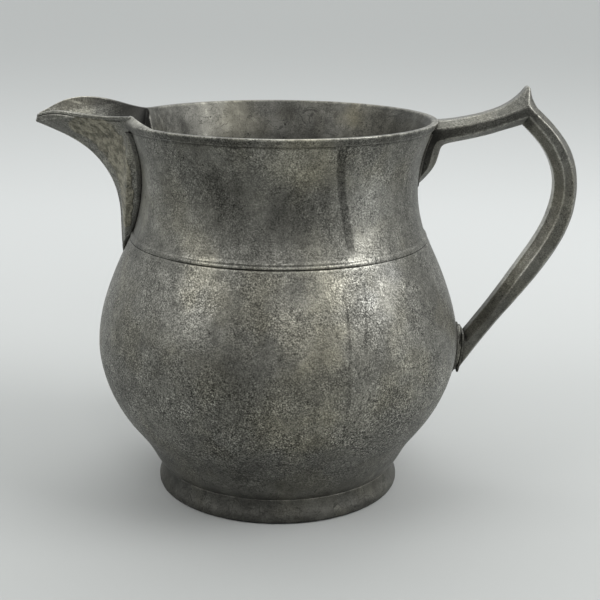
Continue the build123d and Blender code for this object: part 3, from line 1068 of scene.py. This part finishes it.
def pewter(name, tone=0.0, grain=1.0, shine=0.0, body=False, residue=False):
    """Dull cast pewter: mottled grey, fine open grain, bright worn edges, dark corners and painted
    shade where surfaces nearly meet. Light runs from 0 to 1 over the greys of the metal, and warmth
    from plain grey to the straw tint."""
    material = bpy.data.materials.new(name)
    paint = Paint(material)
    patches = paint.noise(7, 4, 0.62)
    light = paint.add(0.14 + tone, paint.noise(30, 3, 0.55), 0.32)
    light = paint.add(light, patches, 0.38)
    warmth = paint.rise(paint.noise(19, 2, 0.5), 0.45, 0.66, 0.35, 0.8)
    if body:
        light, warmth = add_marks_and_highlights(paint, light, warmth)
        light = add_runs(paint, light)
    grains = open_grain(paint, body)
    light = paint.add(light, grains, 0.95 * grain)
    light = add_flaws(paint, light, patches, body)
    light = add_wear_and_shade(paint, light)
    colour = metal_colour(paint, light, warmth)
    roughness = paint.rise(light, 0.2, 0.9, 0.54 - shine, 0.40 - shine)
    height = paint.times(grains, 0.07 * MM * grain)
    height = paint.add(height, patches, 0.2 * MM)
    if residue:
        colour, roughness, height = add_residue(paint, colour, roughness, height)
    bump = paint.node("ShaderNodeBump", 0, None, Strength=1.0, Distance=1.0, Height=height)
    paint.finish({"Base Color": colour, "Roughness": roughness, "Normal": bump, "Metallic": 0.82})
    return material


# The scene


def softbox(name, azimuth, elevation, distance, width, height, power):
    """A soft area lamp that faces the middle of the jug, in degrees, metres and watts: azimuth 0 is
    at the camera's side, and 90 to its right."""
    lamp = bpy.data.lights.new(name, "AREA")
    lamp.shape = "RECTANGLE"
    lamp.size, lamp.size_y = width, height
    lamp.energy = power
    thing = add_object(name, lamp)
    middle = Vector((0, 0, 0.07))
    a, e = math.radians(azimuth), math.radians(elevation)
    way = Vector((math.sin(a) * math.cos(e), -math.cos(a) * math.cos(e), math.sin(e)))
    thing.location = middle + way * distance
    thing.rotation_euler = (middle - thing.location).to_track_quat("-Z", "Y").to_euler()


def make_world():
    """Soft room light: bright above and behind, and darker at the camera's side."""
    world = bpy.data.worlds.new("studio")
    bpy.context.scene.world = world
    paint = Paint(world, "Background", "Generated")
    _, y, z = paint.axes()
    behind = paint.rise(y, -0.7, 0.5, 0.14, 0.95)
    above = paint.rise(z, 0.45, 0.95, 0.0, 0.55)
    strength = paint.math("ADD", behind, above)
    paint.finish({"Strength": strength, "Color": (0.98, 1.0, 0.99, 1)})


def make_floor():
    """A wide pale table in metres, with painted light that makes it lighter further back: a disc of
    rings that widen outwards.
    """
    reach, rings, around = 30.0, 12, 96
    points = [(0, 0, 0)]
    for i in range(1, rings + 1):
        radius = reach * (i / rings) ** 2
        for j in range(around):
            a = 2 * math.pi * j / around
            points.append((radius * math.cos(a), radius * math.sin(a), 0))
    faces = [(0, 1 + j, 1 + (j + 1) % around) for j in range(around)]
    for i in range(rings - 1):
        for j in range(around):
            a, b = 1 + i * around + j, 1 + i * around + (j + 1) % around
            faces.append((a, a + around, b + around, b))
    mesh = bpy.data.meshes.new("studio_floor")
    mesh.from_pydata(points, [], faces)
    floor = add_object("studio_floor", mesh)
    paper = bpy.data.materials.new("floor_paper")
    paint = Paint(paper)
    # Painted light: the paper's colour darkens towards the camera, where less light falls
    shaded_near_colour, lit_far_colour = (0.335, 0.343, 0.338, 1), (0.51, 0.522, 0.522, 1)
    shade = paint.mix(paint.rise(paint.axes()[1], -0.15, 0.55), shaded_near_colour, lit_far_colour)
    paint.finish({"Base Color": shade, "Roughness": 0.75})
    mesh.materials.append(paper)


def make_camera():
    """The view from the front, a little above the rim, with a slight roll."""
    data = bpy.data.cameras.new("camera")
    data.lens = 72.0
    data.clip_start = 0.02
    camera = add_object("camera", data)
    camera.location = (0.00776, -0.41333, 0.18352)
    looks_down = 15.757
    pitch, yaw, roll = math.radians(90 - looks_down), 0.0004, math.radians(0.6)
    turn = Euler((pitch, 0, yaw), "XYZ").to_matrix() @ Euler((0, 0, roll), "XYZ").to_matrix()
    camera.rotation_euler = turn.to_euler()
    bpy.context.scene.camera = camera


make_camera()
make_world()
make_floor()

# Azimuth, elevation, distance, width, height and power of each lamp
softbox("key", 70, 36, 0.9, 0.5, 0.6, 6.5)
softbox("fill", -60, 36, 1.0, 0.55, 0.5, 3.8)
softbox("front", 8, 32, 1.1, 0.22, 0.5, 2.1)
softbox("top", 175, 66, 1.3, 1.0, 0.8, 4)

body_metal = pewter("pewter_body", body=True)
foot_metal = pewter("pewter_foot", tone=-0.17, grain=0.25)
spout_metal = pewter("pewter_spout", tone=0.03, grain=0.75, shine=0.04, residue=True)
handle_metal = pewter("pewter_handle", tone=-0.06, grain=0.5, shine=0.08)
solder_metal = pewter("old_solder", tone=-0.20, grain=0.35)

# How bright the edges are worn, on the metals where it isn't 1
WEAR = {"pewter_spout": 0.45, "pewter_foot": 0.25, "pewter_handle": 0.45, "old_solder": 0.3}

# The solder beads: the joint, the voxel, how high the lumps are, how many of those heights they
# stand proud, and how deep sink() sets the bead
BEADS = [
    ("waist", 0.45, 0.3, -1.0, 0.0),
    ("girth", 0.45, 0.3, -1.0, 0.0),
    ("foot", 0.45, 0.3, -1.0, 0.15),
    ("spout", 0.22, 0.06, 1.6, 0.0),
    ("upper_handle", 0.22, 0.06, -1.0, 0.45),
    ("lower_handle", 0.22, 0.06, -1.0, 0.0),
    ("pad", 0.22, 0.06, -1.0, 0.0),
]
built = [
    (make_neck(), body_metal, "neck"),
    (make_upper_belly(), body_metal, "upper_belly"),
    (make_lower_belly(), body_metal, "lower_belly"),
    (make_foot(), foot_metal, "foot_ring"),
    (make_spout(), spout_metal, "spout"),
    (make_handle(), handle_metal, "handle"),
]
pad = from_cad("lower_handle_pad", "handle_pad", voxel=0.3, lump=0.05, size=3, seed=22)
built.append((pad, handle_metal, "lower_handle_pad"))
for joint, voxel, lump, proud, deeper in BEADS:
    solid = f"{joint}_solder"
    bead = from_cad(solid, f"{solid}_bead", voxel, lump, size=2.2, seed=31, proud=proud)
    sink(bead, deeper)
    built.append((bead, solder_metal, solid))
for piece, metal, node in built:
    mark_wear(piece, WEAR.get(metal.name, 1.0))
    if metal is body_metal:
        mark_body(piece)
    finish_piece(piece, metal, "solder" if metal is solder_metal else "pewter", node)

bpy.context.scene.view_settings.view_transform = "Standard"
